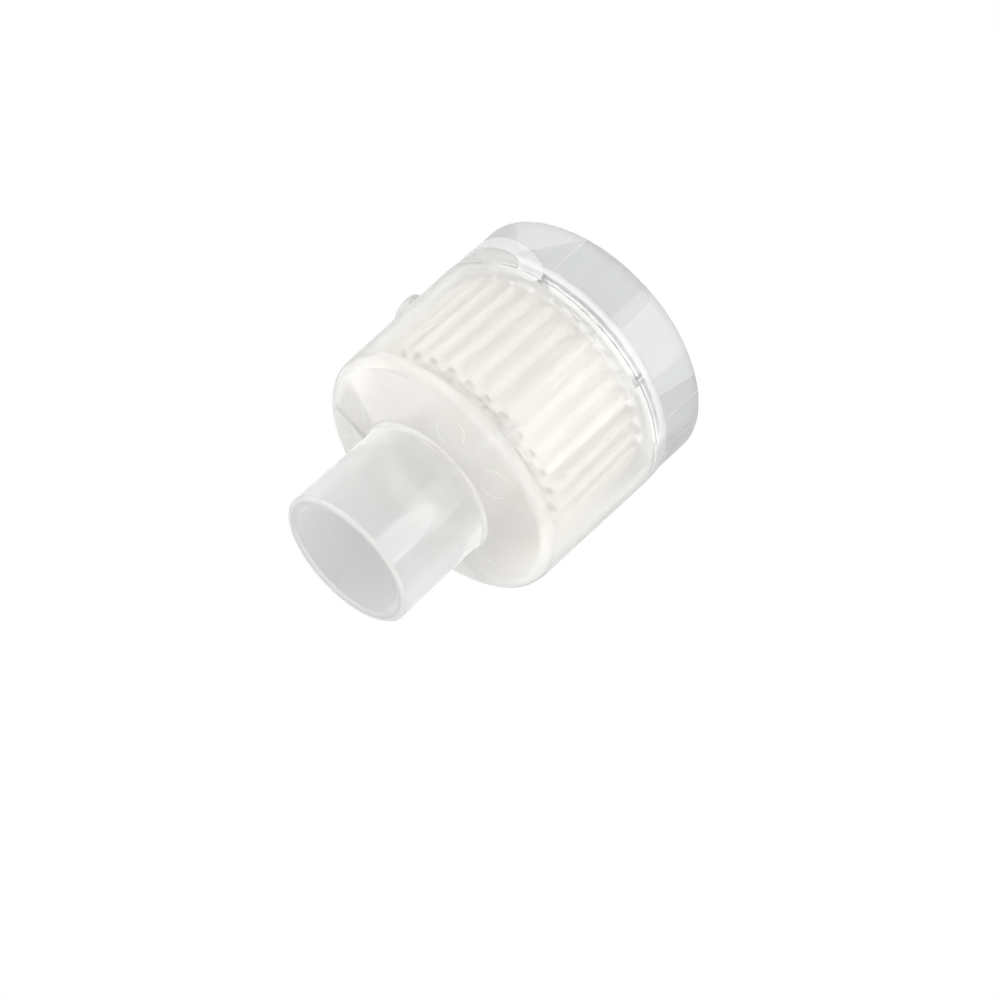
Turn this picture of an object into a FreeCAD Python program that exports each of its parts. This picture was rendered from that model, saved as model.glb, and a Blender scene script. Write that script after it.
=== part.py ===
"""Tracheostomy filter: a clear housing with a 15 mm socket, a corrugated paper roll and an end cap.

The part stands on the rim of the cap's skirt. Z runs along the axis, from the skirt's rim at
zero up to the mouth of the socket. Lengths are in millimetres, angles in degrees.
"""
import FreeCAD, Part
import math
import os

# Socket: a female 15 mm connector cone
socket_bore_d = 15.5            # across the cone at its mouth
socket_taper = 1 / 40           # on the diameter, for each unit of length
socket_taper_length = 8.0       # depth of the cone; behind it the bore is straight
socket_wall = 1.25
socket_length = 13.8            # outside, from the end wall to the mouth
socket_lip = 0.3                # bevel of the mouth's edges
root_radius = 0.7               # where the socket leaves the end wall

# Housing body
seam_d = 35.2                   # outside, where the housing meets the cap
body_length = 19.4              # from the seam to the end wall's outer edge
body_wall = 1.2
draft = 2.0                     # the mould's draft on body and skirt, in degrees
end_wall = 1.3                  # measured along the axis
end_wall_rise = 1.75            # the end wall is a shallow cone, higher at the socket
corner_radius = 1.7             # outside edge of the end wall
inner_corner_bevel = 0.5
seam_bevel = 0.15               # small bevels that draw the seam line

# Ribs and ejector marks inside the end wall
rib_count = 3
rib_first_angle = 22.5
rib_width = 0.9
rib_bore_margin = 0.6           # between the socket's bore and a rib
ejector_d = 3.8
ejector_circle_d = 24.8
ejector_spread = 18.0           # from a rib to the mark on either side
ejector_depth = 0.05

# Side stub: a port that this version of the moulding leaves closed
port_angle = 18.0
port_d = 4.6
port_reach = 1.7                # beyond the body's largest radius
port_above_seam = 3.0           # height of its axis over the seam
port_wall = 0.9
port_edge = 0.7                 # rounding of its outer end

# Key on the housing's rim and the arch of the collar round it
key_angle = 350.0
key_half_width = 11.4
key_height = 3.5
key_thickness = 0.7
key_lean = 0.15                 # how far its lower end leans in
key_clearance = 0.1
arch_half_width = 13.9
arch_height = 5.5
arch_step = 0.1                 # how far it stands out from the skirt

# End cap
collar_height = 2.0
skirt_length = 6.7
skirt_wall = 1.1
skirt_step = 0.2                # how far the skirt lies inside the collar
rim_bevel = 0.25
spigot_height = 1.2             # goes up inside the housing
spigot_clearance = 0.05

# Grille that carries the roll
grille_thickness = 1.5
grille_ledge = 1.4              # ring that reaches in from the collar
grille_ring_width = 0.8
grille_rings = 2
grille_hub_d = 2.6
spoke_count = 6
spoke_width = 1.0

# Paper roll: a fluted strip and a flat strip wound together
roll_length = 15.5
roll_radial_clearance = 0.1
paper_thickness = 0.2
flute_pitch = 2.6
flute_height = 1.5
roll_core_d = 3.0
strip_end_angle = 350.0         # where the wound strip ends on the outside
strip_end_share = 0.75          # least gap at the strip's end, as a share of a flute
# A channel's corners: shares of the flute's width from its middle, and of the clear height
channel_shape = [(-0.34, 0), (-0.11, 1), (0.11, 1), (0.34, 0)]

# Heights that follow
seam_z = skirt_length + collar_height
grille_z = seam_z - grille_thickness
corner_z = seam_z + body_length
root_z = corner_z + end_wall_rise
mouth_z = root_z + socket_length
roll_top_z = seam_z + roll_length

# Radii that follow
slope = math.tan(math.radians(draft))
seam_r = seam_d / 2
corner_r = seam_r - slope * body_length
socket_r = socket_bore_d / 2 + socket_wall
cone_slope = end_wall_rise / (corner_r - socket_r)
skirt_top_r = seam_r - skirt_step
skirt_bore_r = skirt_top_r - skirt_wall
ledge_r = skirt_bore_r - grille_ledge
passage_r = (socket_bore_d - socket_taper_length * socket_taper) / 2
port_z = seam_z + port_above_seam

up = FreeCAD.Vector(0, 0, 1)
centre = FreeCAD.Vector(0, 0, 0)


def body_outside(z):
    """Outer radius of the housing body at a height."""
    return seam_r - slope * (z - seam_z)


def body_inside(z):
    """Inner radius of the housing body at a height."""
    return body_outside(z) - body_wall


def skirt_outside(z):
    """Outer radius of the skirt at a height: it widens to its rim."""
    return skirt_top_r + slope * (skirt_length - z)


def end_wall_outside(r):
    """Height of the end wall's outer cone at a radius."""
    return corner_z + cone_slope * (corner_r - r)


def end_wall_inside(r):
    """Height of the end wall's inner cone at a radius."""
    return end_wall_outside(r) - end_wall


def bore_radius(z):
    """Radius of the socket's bore at a height: a cone, and below it a straight passage."""
    return max(passage_r, socket_bore_d / 2 - (mouth_z - z) * socket_taper / 2)


def revolve(profile):
    """Solid of revolution about Z from corners: (radius, height), or (radius, height, rounding)."""
    corners = [FreeCAD.Vector(corner[0], 0, corner[1]) for corner in profile]
    pieces = []
    for i, corner in enumerate(profile):
        after = corners[(i + 1) % len(corners)]
        if len(corner) == 3:
            pieces.append(rounding(corners[i - 1], corners[i], after, corner[2]))
        else:
            pieces.append((corners[i], corners[i], corners[i]))
    edges = []
    for i, (start, middle, end) in enumerate(pieces):
        if start != end:
            edges.append(Part.Arc(start, middle, end).toShape())
        edges.append(Part.makeLine(end, pieces[(i + 1) % len(pieces)][0]))
    return Part.Face(Part.Wire(edges)).revolve(centre, up, 360)


def rounding(before, corner, after, radius):
    """Start, middle and end of the arc that rounds a corner off."""
    back = (before - corner).normalize()
    ahead = (after - corner).normalize()
    half_angle = back.getAngle(ahead) / 2
    tangent = radius / math.tan(half_angle)
    inward = (back + ahead).normalize()
    middle = corner + inward * (radius / math.sin(half_angle) - radius)
    return corner + back * tangent, middle, corner + ahead * tangent


def ring(inner, outer, low, high):
    """Flat ring about Z; a disc where the inner radius is zero."""
    disc = Part.makeCylinder(outer, high - low, FreeCAD.Vector(0, 0, low))
    if inner == 0:
        return disc
    return disc.cut(Part.makeCylinder(inner, high - low, FreeCAD.Vector(0, 0, low)))


def turned(shape, angle):
    """Copy of a shape, turned about Z."""
    copy = shape.copy()
    copy.rotate(centre, up, angle)
    return copy


def half_ellipse(half_width, height, angle):
    """Arch-shaped bar from the axis outward: a half ellipse hanging from the seam's plane."""
    top = FreeCAD.Vector(0, 0, seam_z)
    side = FreeCAD.Vector(0, half_width, 0)
    curve = Part.Ellipse(top + side, top - FreeCAD.Vector(0, 0, height), top)
    whole = Part.Face(Part.Wire([curve.toShape()])).extrude(FreeCAD.Vector(seam_d, 0, 0))
    lower = Part.makeBox(seam_d, 2 * half_width, height, top - side - FreeCAD.Vector(0, 0, height))
    return turned(whole.common(lower), angle)


def housing():
    """One moulding: socket, end wall, body, ribs, ejector marks, closed port and key."""
    inner_top_z = end_wall_inside(body_inside(corner_z))
    inner_bevel_r = body_inside(inner_top_z) - inner_corner_bevel
    body = revolve([
        (seam_r - seam_bevel, seam_z),
        (body_outside(seam_z + seam_bevel), seam_z + seam_bevel),
        (corner_r, corner_z, corner_radius),
        (socket_r, root_z, root_radius),
        (socket_r, mouth_z - socket_lip),
        (socket_r - socket_lip, mouth_z),
        (bore_radius(mouth_z) + socket_lip, mouth_z),
        (bore_radius(mouth_z - socket_lip), mouth_z - socket_lip),
        (passage_r, mouth_z - socket_taper_length),
        (passage_r, end_wall_inside(passage_r)),
        (inner_bevel_r, end_wall_inside(inner_bevel_r)),
        (body_inside(inner_top_z - inner_corner_bevel), inner_top_z - inner_corner_bevel),
        (body_inside(seam_z), seam_z),
    ])
    body = body.cut(ejector_marks()).fuse(ribs())
    body = closed_port(body)
    return body.fuse(key()).removeSplitter()


def ribs():
    """Radial ribs that hold the roll off the end wall, so that the breath spreads over it."""
    inner_r = passage_r + rib_bore_margin
    outer_r = body_inside(roll_top_z) + body_wall / 2
    bite = end_wall / 4
    profile = [
        (inner_r, roll_top_z),
        (outer_r, roll_top_z),
        (outer_r, end_wall_inside(outer_r) + bite),
        (inner_r, end_wall_inside(inner_r) + bite),
    ]
    points = [FreeCAD.Vector(r, -rib_width / 2, z) for r, z in profile]
    blade = Part.Face(Part.makePolygon(points + points[:1])).extrude(FreeCAD.Vector(0, rib_width, 0))
    return [turned(blade, rib_first_angle + i * 360 / rib_count) for i in range(rib_count)]


def ejector_marks():
    """Shallow round flats that the mould's ejector pins leave on the end wall beside each rib."""
    mark_r = ejector_circle_d / 2
    into_wall = FreeCAD.Vector(cone_slope, 0, 1).normalize()
    flat = FreeCAD.Vector(mark_r, 0, end_wall_inside(mark_r)) + into_wall * ejector_depth
    pin = Part.makeCylinder(ejector_d / 2, end_wall, flat - into_wall * end_wall, into_wall)
    marks = []
    for i in range(rib_count):
        for side in (-1, 1):
            marks.append(turned(pin, rib_first_angle + i * 360 / rib_count + side * ejector_spread))
    return marks


def closed_port(body):
    """Adds the short side stub: hollow from within, closed and rounded at its outer end."""
    outward = FreeCAD.Vector(1, 0, 0)
    start = body_inside(port_z) + body_wall / 3
    end = seam_r + port_reach
    stub = Part.makeCylinder(port_d / 2, end - start, FreeCAD.Vector(start, 0, port_z), outward)
    outer = [e for e in stub.Edges if abs(e.BoundBox.XMin - end) < 0.001 and e.BoundBox.XLength < 0.001]
    stub = stub.makeFillet(port_edge, outer)
    hollow_start = body_inside(port_z) - body_wall
    hollow = Part.makeCylinder(port_d / 2 - port_wall, end - port_wall - hollow_start,
                               FreeCAD.Vector(hollow_start, 0, port_z), outward)
    return body.fuse(turned(stub, port_angle)).cut(turned(hollow, port_angle))


def key():
    """Half-round key that hangs from the housing's rim and sets the cap's place."""
    inner_r = seam_r - key_thickness
    band = revolve([
        (inner_r - key_lean, seam_z - key_height),
        (seam_r - key_lean, seam_z - key_height),
        (seam_r, seam_z),
        (inner_r, seam_z),
    ])
    neck = ring(inner_r, seam_r - seam_bevel, seam_z, seam_z + 2 * seam_bevel)
    bar = half_ellipse(key_half_width, key_height, key_angle)
    above = bar.translated(FreeCAD.Vector(0, 0, 2 * seam_bevel))
    return bar.common(band).fuse(above.common(neck))


def end_cap():
    """One moulding: collar with its arch, spigot, skirt and the grille under the roll."""
    spigot_top_z = seam_z + spigot_height
    spigot_r = body_inside(spigot_top_z) - spigot_clearance
    seat_r = roll_radius() + roll_radial_clearance
    cap = revolve([
        (skirt_bore_r, rim_bevel),
        (skirt_bore_r + rim_bevel, 0),
        (skirt_outside(0) - rim_bevel, 0),
        (skirt_outside(rim_bevel), rim_bevel),
        (skirt_top_r, skirt_length),
        (seam_r, skirt_length),
        (seam_r, seam_z - seam_bevel),
        (seam_r - seam_bevel, seam_z),
        (spigot_r, seam_z),
        (spigot_r, spigot_top_z),
        (seat_r, spigot_top_z),
        (seat_r, seam_z),
        (ledge_r, seam_z),
        (ledge_r, grille_z),
        (skirt_bore_r, grille_z),
    ])
    arch_low_z = seam_z - arch_height
    arch_band = revolve([
        (skirt_bore_r + skirt_wall / 2, arch_low_z),
        (skirt_outside(arch_low_z) + arch_step, arch_low_z),
        (skirt_top_r + arch_step, skirt_length),
        (skirt_bore_r + skirt_wall / 2, skirt_length),
    ])
    cap = cap.fuse(half_ellipse(arch_half_width, arch_height, key_angle).common(arch_band))
    pocket_r = seam_r - key_thickness - key_clearance
    pocket_band = revolve([
        (pocket_r - key_lean, seam_z - key_height - key_clearance),
        (seam_r + skirt_wall, seam_z - key_height - key_clearance),
        (seam_r + skirt_wall, seam_z + key_clearance),
        (pocket_r, seam_z + key_clearance),
    ])
    pocket = half_ellipse(key_half_width + key_clearance, key_height + key_clearance, key_angle)
    cap = cap.cut(pocket.common(pocket_band))
    return cap.fuse(grille()).removeSplitter()


def grille():
    """Rings and spokes that carry the roll and let the breath through."""
    hub_r = grille_hub_d / 2
    gap = (ledge_r - hub_r - grille_rings * grille_ring_width) / (grille_rings + 1)
    pieces = [ring(0, hub_r, grille_z, seam_z)]
    for i in range(grille_rings):
        inner = hub_r + gap + i * (gap + grille_ring_width)
        pieces.append(ring(inner, inner + grille_ring_width, grille_z, seam_z))
    spoke = Part.makeBox(ledge_r + grille_ledge / 2, spoke_width, grille_thickness,
                         FreeCAD.Vector(0, -spoke_width / 2, grille_z))
    pieces += [turned(spoke, i * 360 / spoke_count) for i in range(spoke_count)]
    return pieces


def roll_radius():
    """The roll fills the housing where it is narrowest, over the roll's own length."""
    return body_inside(roll_top_z) - roll_radial_clearance


def flute_places():
    """Where each flute sits on the wound strip: its angle, its angular width and its foot's radius."""
    turn = flute_height + paper_thickness
    first_r = roll_core_d / 2 + paper_thickness
    last_r = roll_radius() - flute_height
    end = 360 * (last_r - first_r) / turn
    places = []
    angle = 0.0
    while angle < end:
        foot_r = first_r + turn * angle / 360
        step = math.degrees(flute_pitch / (foot_r + flute_height / 2))
        places.append((angle, step, foot_r))
        angle += step
    return places


def on_flute(place, along, height):
    """Point beside a flute: along is a share of its width from its crest, height is over its foot."""
    angle, step, foot_r = place
    return polar(foot_r + height, math.radians(angle + along * step))


def paper_roll():
    """One solid: a fluted strip on a flat one, wound up with the flutes outward."""
    places = flute_places()
    last_angle, last_step, _ = places[-1]
    last_turn = [place for place in places if place[0] > last_angle - 360 + strip_end_share * last_step]
    covered = [place for place in places if place[0] + place[1] < last_turn[0][0]]
    core = Part.Wire([Part.Circle(centre, up, roll_core_d / 2).toShape()])
    wires = [wavy_outline(last_turn), core]
    wires += [channel(place, False) for place in places]
    wires += [channel(place, True) for place in covered]
    face = Part.makeFace(wires, "Part::FaceMakerBullseye")
    face.translate(FreeCAD.Vector(0, 0, seam_z))
    return turned(face.extrude(FreeCAD.Vector(0, 0, roll_length)), strip_end_angle - last_angle)


def wavy_outline(last_turn):
    """The outermost turn's flutes, crest and trough by turns, closed at the strip's end."""
    middle = (flute_height + paper_thickness) / 2
    edges = []
    for i, place in enumerate(last_turn):
        rise, crest, fall = (on_flute(place, share, height)
                             for share, height in ((-0.25, middle), (0, flute_height), (0.25, middle)))
        if i > 0:
            before = last_turn[i - 1]
            trough = on_flute(before, 0.5, paper_thickness)
            edges.append(Part.Arc(edges[-1].Vertexes[-1].Point, trough, rise).toShape())
        edges.append(Part.Arc(rise, crest, fall).toShape())
    edges.append(Part.makeLine(edges[-1].Vertexes[-1].Point, edges[0].Vertexes[0].Point))
    return Part.Wire(edges)


def channel(place, above_trough):
    """Outline of one open channel: under a flute's crest, or above the trough that follows it."""
    clear = flute_height - paper_thickness
    corners = []
    for share, part in channel_shape:
        if above_trough:
            corners.append(on_flute(place, 0.5 + share, flute_height - part * clear))
        else:
            corners.append(on_flute(place, share, part * clear))
    return Part.makePolygon(corners + corners[:1])


def polar(radius, angle):
    """Point in the plane from a radius and an angle in radians."""
    return FreeCAD.Vector(radius * math.cos(angle), radius * math.sin(angle), 0)


os.makedirs("parts", exist_ok=True)
housing().exportStep("parts/housing.step")
paper_roll().exportStep("parts/paper_roll.step")
end_cap().exportStep("parts/end_cap.step")
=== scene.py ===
"""The tracheostomy filter in a plain white studio: housing, corrugated paper roll and end cap.

Everything is in metres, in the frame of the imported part: Z runs from the skirt's rim, on the
floor, up to the mouth of the socket. Sizes are written in millimetres and multiplied by mm.
"""
import math

import bpy
from mathutils import Matrix, Vector


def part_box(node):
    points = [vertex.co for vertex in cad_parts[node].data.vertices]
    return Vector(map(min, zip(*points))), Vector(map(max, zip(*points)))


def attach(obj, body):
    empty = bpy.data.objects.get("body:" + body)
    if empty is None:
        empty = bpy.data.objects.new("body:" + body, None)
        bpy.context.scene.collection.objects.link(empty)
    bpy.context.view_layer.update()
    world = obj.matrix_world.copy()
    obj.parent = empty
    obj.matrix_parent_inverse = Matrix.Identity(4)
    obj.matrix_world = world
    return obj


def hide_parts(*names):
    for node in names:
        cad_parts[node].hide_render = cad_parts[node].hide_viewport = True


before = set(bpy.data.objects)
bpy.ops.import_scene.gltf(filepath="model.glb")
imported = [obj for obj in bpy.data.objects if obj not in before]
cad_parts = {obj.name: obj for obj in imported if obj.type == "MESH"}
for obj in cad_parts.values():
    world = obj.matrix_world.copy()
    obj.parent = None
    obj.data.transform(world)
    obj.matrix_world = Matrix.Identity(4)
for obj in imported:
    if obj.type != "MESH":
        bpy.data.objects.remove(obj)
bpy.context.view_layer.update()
mm = 0.001
bpy.ops.object.select_all(action="DESELECT")


# Housing: one clear moulding, with the socket, the cone-shaped end wall and the body. It is
# injection moulded in a glossy plastic that is a little milky. Its grey in the socket and the
# side stub is painted shade, for the darker surroundings seen through them.

flow_scale = 110.0
flow_share = 0.2
grazing_milk = 0.35
plastic_ior = 1.5
# The dark grey of the cut edges is painted shade.
edge_shade_tint = (0.37, 0.366, 0.358)


class Signal:
    """A socket in a material's nodes; sums and products of it add Math nodes."""

    def __init__(self, tree, socket=None):
        self.tree = tree
        self.socket = socket

    def node(self, kind, settings, inputs, output=0):
        """Adds a node: its settings first, then the value or the link of each socket."""
        added = self.tree.nodes.new(kind)
        for name, value in settings.items():
            setattr(added, name, value)
        for name, value in inputs.items():
            if isinstance(value, Signal):
                self.tree.links.new(value.socket, added.inputs[name])
            else:
                added.inputs[name].default_value = value
        return Signal(self.tree, added.outputs[output] if len(added.outputs) else None)

    def maths(self, operation, other=0):
        """This signal and another value, taken through one operation of a Math node."""
        return self.node("ShaderNodeMath", {"operation": operation}, {0: self, 1: other})

    def __abs__(self):
        return self.maths("ABSOLUTE")

    def __add__(self, other):
        return self.maths("ADD", other)

    __radd__ = __add__

    def __sub__(self, other):
        return self.maths("SUBTRACT", other)

    def __rsub__(self, other):
        return self.node("ShaderNodeMath", {"operation": "SUBTRACT"}, {0: other, 1: self})

    def __mul__(self, other):
        return self.maths("MULTIPLY", other)

    def __pow__(self, other):
        return self.maths("POWER", other)

    def __gt__(self, other):
        return self.maths("GREATER_THAN", other)

    def __lt__(self, other):
        return self.maths("LESS_THAN", other)


def new_material(name):
    """An empty material, and the signal that its nodes start from."""
    material = bpy.data.materials.new(name)
    material.use_nodes = True
    material.node_tree.nodes.clear()
    return material, Signal(material.node_tree)


def moulded_plastic(name, clear_tint, shade_tint, milk_tint, place_finish):
    """Clear moulded plastic with a little milk in it, unevenly spread by the flow in the mould.

    place_finish takes the place's parts and its distance to the axis, and gives five signals: the
    milk that shows there, how much the surface hazes what lies behind it, how grey it looks
    (painted shade), where a cut edge turns it a matt dark grey (painted shade), and where a weld
    has melted the face away. A wall that is seen along its length shows more milk.
    """
    material, start = new_material(name)
    place = start.node("ShaderNodeTexCoord", {}, {}, "Object")
    flow = start.node("ShaderNodeTexNoise", {}, {
        "Vector": place,
        "Scale": flow_scale,
        "Detail": 2.0,
    }, 0)
    uneven = flow * flow_share + (1 - flow_share / 2)
    x, y, z = (start.node("ShaderNodeSeparateXYZ", {}, {0: place}, axis) for axis in range(3))
    radius = (x * x + y * y) ** 0.5
    milk, haze, grey, edge, weld = place_finish(x, y, z, radius)
    grazing = start.node("ShaderNodeLayerWeight", {}, {"Blend": 0.5}, "Facing") ** 4
    # The grey tint is painted shade: it stands in for the darker surroundings seen through the
    # wall.
    tint = start.node("ShaderNodeMix", {"data_type": "RGBA"}, {
        "Factor": grey,
        "A": (*clear_tint, 1),
        "B": (*shade_tint, 1),
    }, 2)
    clear = start.node("ShaderNodeBsdfPrincipled", {}, {
        "Base Color": tint,
        "Roughness": haze * uneven,
        "IOR": plastic_ior,
        "Transmission Weight": 1.0,
        "Coat Weight": 1.0,
        "Coat Roughness": 0.02,
        "Coat IOR": plastic_ior,
    })
    milky = start.node("ShaderNodeBsdfTranslucent", {}, {"Color": (*milk_tint, 1)})
    chalky = start.node("ShaderNodeBsdfDiffuse", {}, {"Color": (*milk_tint, 1)})
    cloud = start.node("ShaderNodeMixShader", {}, {0: 0.5, 1: milky, 2: chalky})
    cloudy = milk * uneven + grazing * grazing_milk
    moulded = start.node("ShaderNodeMixShader", {}, {0: cloudy, 1: clear, 2: cloud})
    # Cut edges turn a matt dark grey: painted shade.
    cut = start.node("ShaderNodeBsdfDiffuse", {}, {"Color": (*edge_shade_tint, 1)})
    edged = start.node("ShaderNodeMixShader", {}, {0: edge, 1: moulded, 2: cut})
    melted = start.node("ShaderNodeBsdfTransparent", {}, {})
    whole = start.node("ShaderNodeMixShader", {}, {0: weld, 1: edged, 2: melted})
    start.node("ShaderNodeOutputMaterial", {}, {"Surface": whole})
    return material


def dress(node, material):
    """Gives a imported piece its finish."""
    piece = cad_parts[node]
    piece.data.materials.clear()
    piece.data.materials.append(material)


body_skin = 16.65 * mm
socket_skin = 8.4 * mm
end_wall_fall = 0.221
end_wall_skin = 31.2 * mm
end_wall_edge = 26.5 * mm
socket_foot = 30.2 * mm
lip_edge = 43.3 * mm
seam = 8.7 * mm
seam_reach = 0.02 * mm
weld_inside = 16.42 * mm
weld_outside = 17.44 * mm
stub_foot = 17.75 * mm

pin_mark_radius = 1.9 * mm
pin_mark_way = 12.4 * mm
pin_mark_line = 0.06 * mm
pin_mark_turn = math.radians(18)
rib_count = 3
rib_turn = math.radians(22.5)
rib_share = math.tau / rib_count
rib_side = 0.6 * mm
rib_foot = 24.25 * mm

inside_milk = 0.05
outside_milk = 0.25
socket_milk = 0.12
rib_milk = 0.2
pin_glint_milk = 0.08
body_haze = 0.06
top_haze = 0.16
rib_haze = 0.2
stub_haze = 0.3
# The grey in the stub is painted shade.
stub_painted_shade = 0.5
# The lip's matt dark grey is painted shade.
lip_edge_shade = 0.72


def turn_from_rib(x, y):
    """The angle to the nearest of the ribs under the end wall."""
    way_round = y.maths("ARCTAN2", x) - rib_turn
    return (way_round + rib_count * rib_share).maths("PINGPONG", rib_share / 2)


def pin_mark_glints(from_rib, radius):
    """Painted glints: 1 on two quarters of thin arcs round the flats the ejector pins left by each
    rib.
    """
    from_pin = from_rib - pin_mark_turn
    off = radius * from_pin.maths("COSINE") - pin_mark_way
    side = radius * from_pin.maths("SINE")
    from_line = (off * off + side * side) ** 0.5 - pin_mark_radius
    # Only the two quarters on the lit side are kept, as painted glints.
    return (abs(from_line) < pin_mark_line) * (off * side < 0)


def weld_face(z, radius):
    """1 on the flat faces that are welded together at the seam."""
    level = abs(z - seam) < seam_reach
    return level * (radius > weld_inside) * (radius < weld_outside)


def housing_finish(x, y, z, radius):
    """Milkier outside than inside; hazy on the end wall and the socket; matt at the lip.

    The grey of the socket, the stub and the lip is painted shade, and the pin marks' arcs are
    painted glints.
    """
    over_end_wall = z + radius * end_wall_fall > end_wall_skin
    around_socket = radius > socket_skin
    outside = (radius > body_skin).maths("MAXIMUM", over_end_wall * around_socket)
    over_body = z > end_wall_edge
    socket = z > socket_foot
    end_wall = over_body - socket
    stub = radius > stub_foot
    from_rib = turn_from_rib(x, y)
    pin_glints = pin_mark_glints(from_rib, radius) * end_wall
    rib = (radius * from_rib < rib_side) * (z > rib_foot) * (1 - outside) * (1 - socket)
    milk = outside * (socket * socket_milk + outside_milk) + inside_milk
    # The pin marks' extra milk is a painted glint.
    milk = milk + pin_glints * pin_glint_milk + rib * rib_milk - stub * inside_milk
    haze = over_body * top_haze + body_haze + rib * rib_haze + stub * stub_haze
    # Grey in the socket and the stub is painted shade, for the darker surroundings seen through
    # them.
    grey = socket + stub * stub_painted_shade
    return milk, haze, grey, (z > lip_edge) * lip_edge_shade, weld_face(z, radius)


dress("housing", moulded_plastic("clear moulded plastic", (0.976, 0.962, 0.92),
                                 (0.59, 0.59, 0.597), (0.955, 0.952, 0.94), housing_finish))


# Paper roll: a fluted strip and a flat strip of off-white, salt-treated paper, wound up together
# until they fill the housing. The flutes stand outward, and their ends show as rows of D-shaped
# cells.

paper_thickness = 0.12 * mm
flute_pitch = 2.6 * mm
flute_height = 1.5 * mm
flute_arc_steps = 7
strip_rows = 6
winding_steps = 96
liner_steps = 72
liner_gap = 0.2 * mm
first_foot_radius = 1.7 * mm
last_foot_radius = 14.16 * mm
strip_end_angle = math.radians(15)
hair = 0.001 * mm
merge_reach = 0.01 * mm
roll_low, roll_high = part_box("paper_roll")
roll_bottom = roll_low.z
roll_length = roll_high.z - roll_low.z
roll_middle = roll_bottom + roll_length / 2
turn_rise = flute_height + liner_gap
flute_middle = flute_height / 2
turns = (last_foot_radius - first_foot_radius) / turn_rise


def winding_line(name):
    """The spiral that the strips follow, at the middle of the flutes' height, and its length."""
    line = bpy.data.curves.new(name, "CURVE")
    line.dimensions = "3D"
    spline = line.splines.new("POLY")
    count = round(turns * winding_steps)
    spline.points.add(count)
    length = 0.0
    before = None
    for i, point in enumerate(spline.points):
        turn = turns * i / count
        radius = first_foot_radius + turn_rise * turn + flute_middle
        angle = strip_end_angle - math.tau * (turns - turn)
        here = Vector((radius * math.cos(angle), radius * math.sin(angle), 0))
        point.co = (*here, 1)
        if before is not None:
            length += (here - before).length
        before = here
    piece = bpy.data.objects.new(name, line)
    bpy.context.scene.collection.objects.link(piece)
    return piece, length


def pick(test):
    """Selects the edited mesh's vertices that pass a test on their place, and nothing else."""
    bpy.ops.mesh.select_mode(type="VERT")
    bpy.ops.mesh.select_all(action="DESELECT")
    bpy.ops.object.mode_set(mode="OBJECT")
    for vertex in bpy.context.object.data.vertices:
        vertex.select = test(vertex.co)
    bpy.ops.object.mode_set(mode="EDIT")


def axial_edge(name):
    """A piece that holds one edge along Z, as long as the roll, in strip_rows parts."""
    bpy.ops.mesh.primitive_plane_add(size=roll_length, location=(0, 0, 0))
    piece = bpy.context.object
    piece.name = name
    bpy.ops.object.mode_set(mode="EDIT")
    pick(lambda co: co.x > 0)
    bpy.ops.mesh.delete(type="VERT")
    bpy.ops.mesh.select_all(action="SELECT")
    bpy.ops.transform.rotate(value=math.pi / 2, orient_axis="X", center_override=(0, 0, 0))
    bpy.ops.transform.translate(value=(roll_length / 2, 0, roll_middle))
    bpy.ops.mesh.subdivide(number_cuts=strip_rows - 1)
    return piece


def wind_up(piece):
    """Bends a strip round the winding line, thickens it into paper and applies its modifiers."""
    wound = piece.modifiers.new("winding", "CURVE")
    wound.object = winding
    wound.deform_axis = "POS_X"
    thick = piece.modifiers.new("paper", "SOLIDIFY")
    thick.thickness = paper_thickness
    thick.offset = 0
    bpy.ops.object.select_all(action="DESELECT")
    bpy.context.view_layer.objects.active = piece
    piece.select_set(True)
    for modifier in list(piece.modifiers):
        bpy.ops.object.modifier_apply(modifier=modifier.name)


quarter = flute_pitch / 4
roll = axial_edge("paper_roll_flutes")
bpy.ops.mesh.spin(steps=flute_arc_steps, angle=-math.pi, center=(quarter, 0, 0), axis=(0, 0, 1))
pick(lambda co: co.x > 2 * quarter - hair)
bpy.ops.mesh.spin(steps=flute_arc_steps, angle=math.pi, center=(3 * quarter, 0, 0), axis=(0, 0, 1))
bpy.ops.object.mode_set(mode="OBJECT")
winding, winding_length = winding_line("winding line")
row = roll.modifiers.new("flutes", "ARRAY")
row.count = int(winding_length / flute_pitch)
row.use_relative_offset = False
row.use_constant_offset = True
row.constant_offset_displace = (flute_pitch, 0, 0)
row.use_merge_vertices = True
row.merge_threshold = merge_reach
wind_up(roll)

bpy.ops.mesh.primitive_grid_add(x_subdivisions=round(turns * liner_steps),
                                y_subdivisions=strip_rows, size=1)
liner = bpy.context.object
liner.name = "paper_roll_liner"
liner_offset = flute_middle + liner_gap / 2
bpy.ops.object.mode_set(mode="EDIT")
bpy.ops.transform.resize(value=(winding_length, roll_length, 1))
bpy.ops.transform.rotate(value=math.pi / 2, orient_axis="X", center_override=(0, 0, 0))
bpy.ops.transform.translate(value=(winding_length / 2, liner_offset, roll_middle))
bpy.ops.object.mode_set(mode="OBJECT")
wind_up(liner)
bpy.data.objects.remove(winding)

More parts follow.
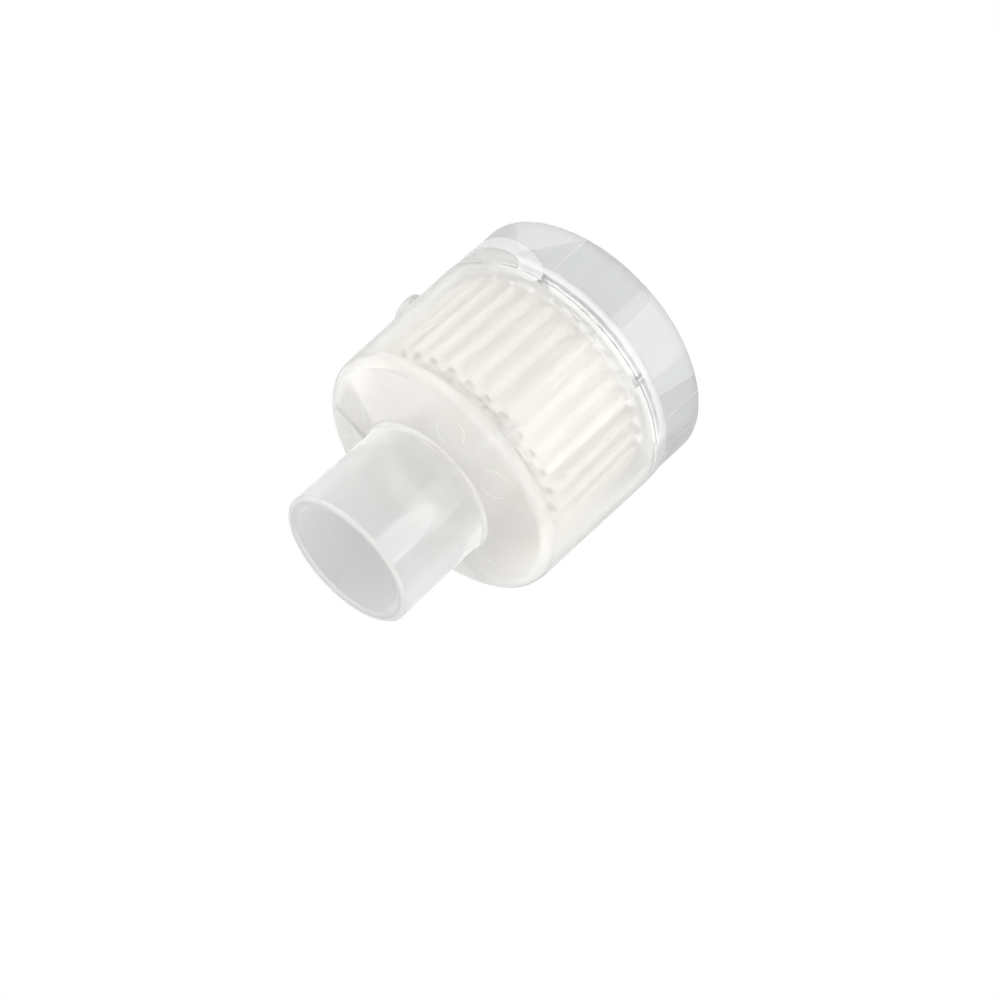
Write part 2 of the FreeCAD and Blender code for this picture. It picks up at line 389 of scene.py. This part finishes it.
paper, start = new_material("salt treated paper")
place = start.node("ShaderNodeTexCoord", {}, {}, "Object")
fibres = start.node("ShaderNodeTexNoise", {}, {"Vector": place, "Scale": 2400.0, "Detail": 4.0}, 0)
stain = start.node("ShaderNodeTexNoise", {}, {"Vector": place, "Scale": 260.0, "Detail": 2.0}, 0)
paper_colour = start.node("ShaderNodeMix", {"data_type": "RGBA"}, {
    "Factor": stain,
    "A": (0.97, 0.95, 0.92, 1),
    "B": (0.985, 0.975, 0.96, 1),
}, 2)
grain = start.node("ShaderNodeBump", {}, {
    "Height": fibres,
    "Strength": 0.3,
    "Distance": 0.05 * mm,
})
sheet = start.node("ShaderNodeBsdfPrincipled", {}, {
    "Base Color": paper_colour,
    "Roughness": fibres * 0.1 + 0.8,
    "Normal": grain,
    "Specular IOR Level": 0.2,
})
glow = start.node("ShaderNodeBsdfTranslucent", {}, {"Color": (0.98, 0.965, 0.94, 1)})
glow_share = 0.25
paper_surface = start.node("ShaderNodeMixShader", {}, {0: glow_share, 1: sheet, 2: glow})
start.node("ShaderNodeOutputMaterial", {}, {"Surface": paper_surface})
for piece in (roll, liner):
    piece.data.materials.clear()
    piece.data.materials.append(paper)
    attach(piece, "root")
    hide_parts("paper_roll")


# End cap: one moulding of the same clear plastic, with the collar, the spigot in the housing, the
# skirt and the grille under the roll. It is welded to the housing's rim.

skirt_skin = 16.85 * mm
rim_edge = 0.3 * mm
collar_edge = 6.6 * mm
collar_skin = 16.3 * mm
arch_half_width = 13.9 * mm
arch_height = 5.5 * mm
arch_way = math.radians(350)
# Two fine milkier lines along the skirt, at fixed angles round it.
first_line_way = math.radians(219.1)
second_line_way = math.radians(297.3)
line_width = 0.06 * mm

# The facets are patches of painted reflection, and the skirt's grey is painted shade, for darker
# surroundings.
reflection_patch_scale = 85.0
cap_inside_milk = 0.04
cap_outside_milk = 0.22
reflection_patch_milk = 0.13
collar_milk = 0.08
arch_milk = 0.2
line_milk = 0.2
cap_haze = 0.08
cap_outside_haze = 0.02
skirt_painted_shade = 1.1
reflection_patch_shade = 0.4
# The rim's matt dark grey is painted shade.
rim_edge_shade = 0.3


def skirt_line(x, y, way):
    """1 on a fine straight line along the skirt, at a fixed angle round it."""
    from_line = y * math.cos(way) - x * math.sin(way)
    ahead = x * math.cos(way) + y * math.sin(way) > 0
    return (abs(from_line) < line_width) * ahead


def cap_finish(x, y, z, radius):
    """Grey in the skirt, in uneven patches of painted shade and painted reflection; dark grey
    painted shade at the rim; milkier in the collar, in the arch and at two lines.
    """
    outside = radius > skirt_skin
    over_skirt = z > collar_edge
    skirt = 1 - over_skirt
    collar = over_skirt * (radius > collar_skin)
    across = (y * math.cos(arch_way) - x * math.sin(arch_way)) * (1 / arch_half_width)
    down = (seam - z) * (1 / arch_height)
    arch = (across * across + down * down < 1) * (x > 0) * outside
    lines = skirt_line(x, y, first_line_way) + skirt_line(x, y, second_line_way)
    place = z.node("ShaderNodeTexCoord", {}, {}, "Object")
    # Voronoi patches of painted reflection, standing in for darker surroundings mirrored in the
    # skirt.
    reflection_patches = z.node("ShaderNodeTexVoronoi", {}, {"Vector": place, "Scale": reflection_patch_scale}, "Color")
    milk = outside * (cap_outside_milk + skirt * reflection_patches * reflection_patch_milk) + cap_inside_milk
    milk = milk + collar * collar_milk + arch * arch_milk + lines * skirt * line_milk
    haze = outside * cap_outside_haze + cap_haze
    # The skirt's grey and its patches are painted shade and painted reflection.
    grey = skirt * (skirt_painted_shade - reflection_patches * reflection_patch_shade)
    return milk, haze, grey, (z < rim_edge) * rim_edge_shade, weld_face(z, radius)


dress("end_cap", moulded_plastic("milky moulded plastic", (0.92, 0.92, 0.92),
                                 (0.52, 0.525, 0.53), (0.88, 0.885, 0.89), cap_finish))


# Studio: a white floor and soft white light from all round, as for a catalogue picture.

def glowing_card(name, finish, size, place, brightness, turn=(0, 0, 0)):
    """A flat square that glows evenly."""
    bpy.ops.mesh.primitive_plane_add(size=size, location=place, rotation=turn)
    card = bpy.context.object
    card.name = name
    material, start = new_material(finish)
    shade = start.node("ShaderNodeEmission", {}, {"Color": (1, 1, 1, 1), "Strength": brightness})
    start.node("ShaderNodeOutputMaterial", {}, {"Surface": shade})
    card.data.materials.append(material)
    return card


floor = glowing_card("floor", "white floor", 4, (0, 0, 0), 1.0)
floor.visible_glossy = False

# A dark card far below the table shows only in glossy reflections, and gives the clear walls
# their outlines.
dark_card = glowing_card("dark_card", "grey card", 12, (0, 0, -0.6), 0.12)
dark_card.visible_camera = False

# A grey backdrop, out of the picture, keeps the glare off the end wall.
backdrop = glowing_card("backdrop", "pale card", 3, (0, 1.4, 1.6), 0.5, (math.pi / 2, 0, 0))
backdrop.visible_camera = False

world = bpy.data.worlds.new("studio")
bpy.context.scene.world = world
world.use_nodes = True
sky = world.node_tree.nodes["Background"]
sky.inputs["Color"].default_value = (0.98, 0.98, 1, 1)
sky.inputs["Strength"].default_value = 0.88


def softbox(name, place, target, width, height, watts, glare=True):
    """A rectangular light that faces the target; without glare, nothing reflects it."""
    light = bpy.data.lights.new(name, "AREA")
    light.shape = "RECTANGLE"
    light.size = width
    light.size_y = height
    light.energy = watts
    lamp = bpy.data.objects.new(name, light)
    bpy.context.scene.collection.objects.link(lamp)
    aim = (Vector(target) - Vector(place)).to_track_quat("-Z", "Y")
    lamp.matrix_world = Matrix.Translation(place) @ aim.to_matrix().to_4x4()
    lamp.visible_glossy = glare


softbox("overhead", (0, -0.1, 0.7), (0, 0, 0), 0.7, 0.7, 0.7, glare=False)
softbox("front", (-0.1, -0.75, 0.25), (0, 0, 0.02), 1.6, 1.0, 7, glare=False)
softbox("right side", (0.75, -0.2, 0.25), (0, 0, 0.02), 1.6, 1.2, 15, glare=False)
softbox("left side", (-0.75, -0.2, 0.25), (0, 0, 0.02), 1.6, 1.2, 13.5, glare=False)
softbox("back", (0.14, 0.6, 0.56), (0, 0, 0.03), 0.3, 0.45, 0.5)

# Two narrow softboxes below the table give the straight highlights along the body and the socket.
highlight_way = Vector((-0.52, -0.85, 0)) * 350 * mm
low_place = highlight_way + Vector((0, 0, -0.18))
high_place = highlight_way + Vector((0, 0, -0.122))
softbox("low strip", low_place, (0, 0, 0.015), 0.37, 0.1, 0.15)
softbox("high strip", high_place, (0, 0, 0.036), 0.27, 0.027, 0.074)


# Camera: the photograph's view, looking down on the part and turned so that the socket lies
# lower left.

camera_place = Vector((-7.0, -193.0, 128.3)) * mm
camera_down = math.radians(28.425)
camera_roll = math.radians(-133.43)
lens = bpy.data.cameras.new("camera")
lens.lens = 67.02
lens.sensor_width = 36
lens.clip_start = 0.01
camera = bpy.data.objects.new("camera", lens)
bpy.context.scene.collection.objects.link(camera)
tilt = Matrix.Rotation(math.pi / 2 - camera_down, 4, "X") @ Matrix.Rotation(camera_roll, 4, "Z")
camera.matrix_world = Matrix.Translation(camera_place) @ tilt
bpy.context.scene.camera = camera
bpy.context.scene.view_settings.view_transform = "Standard"
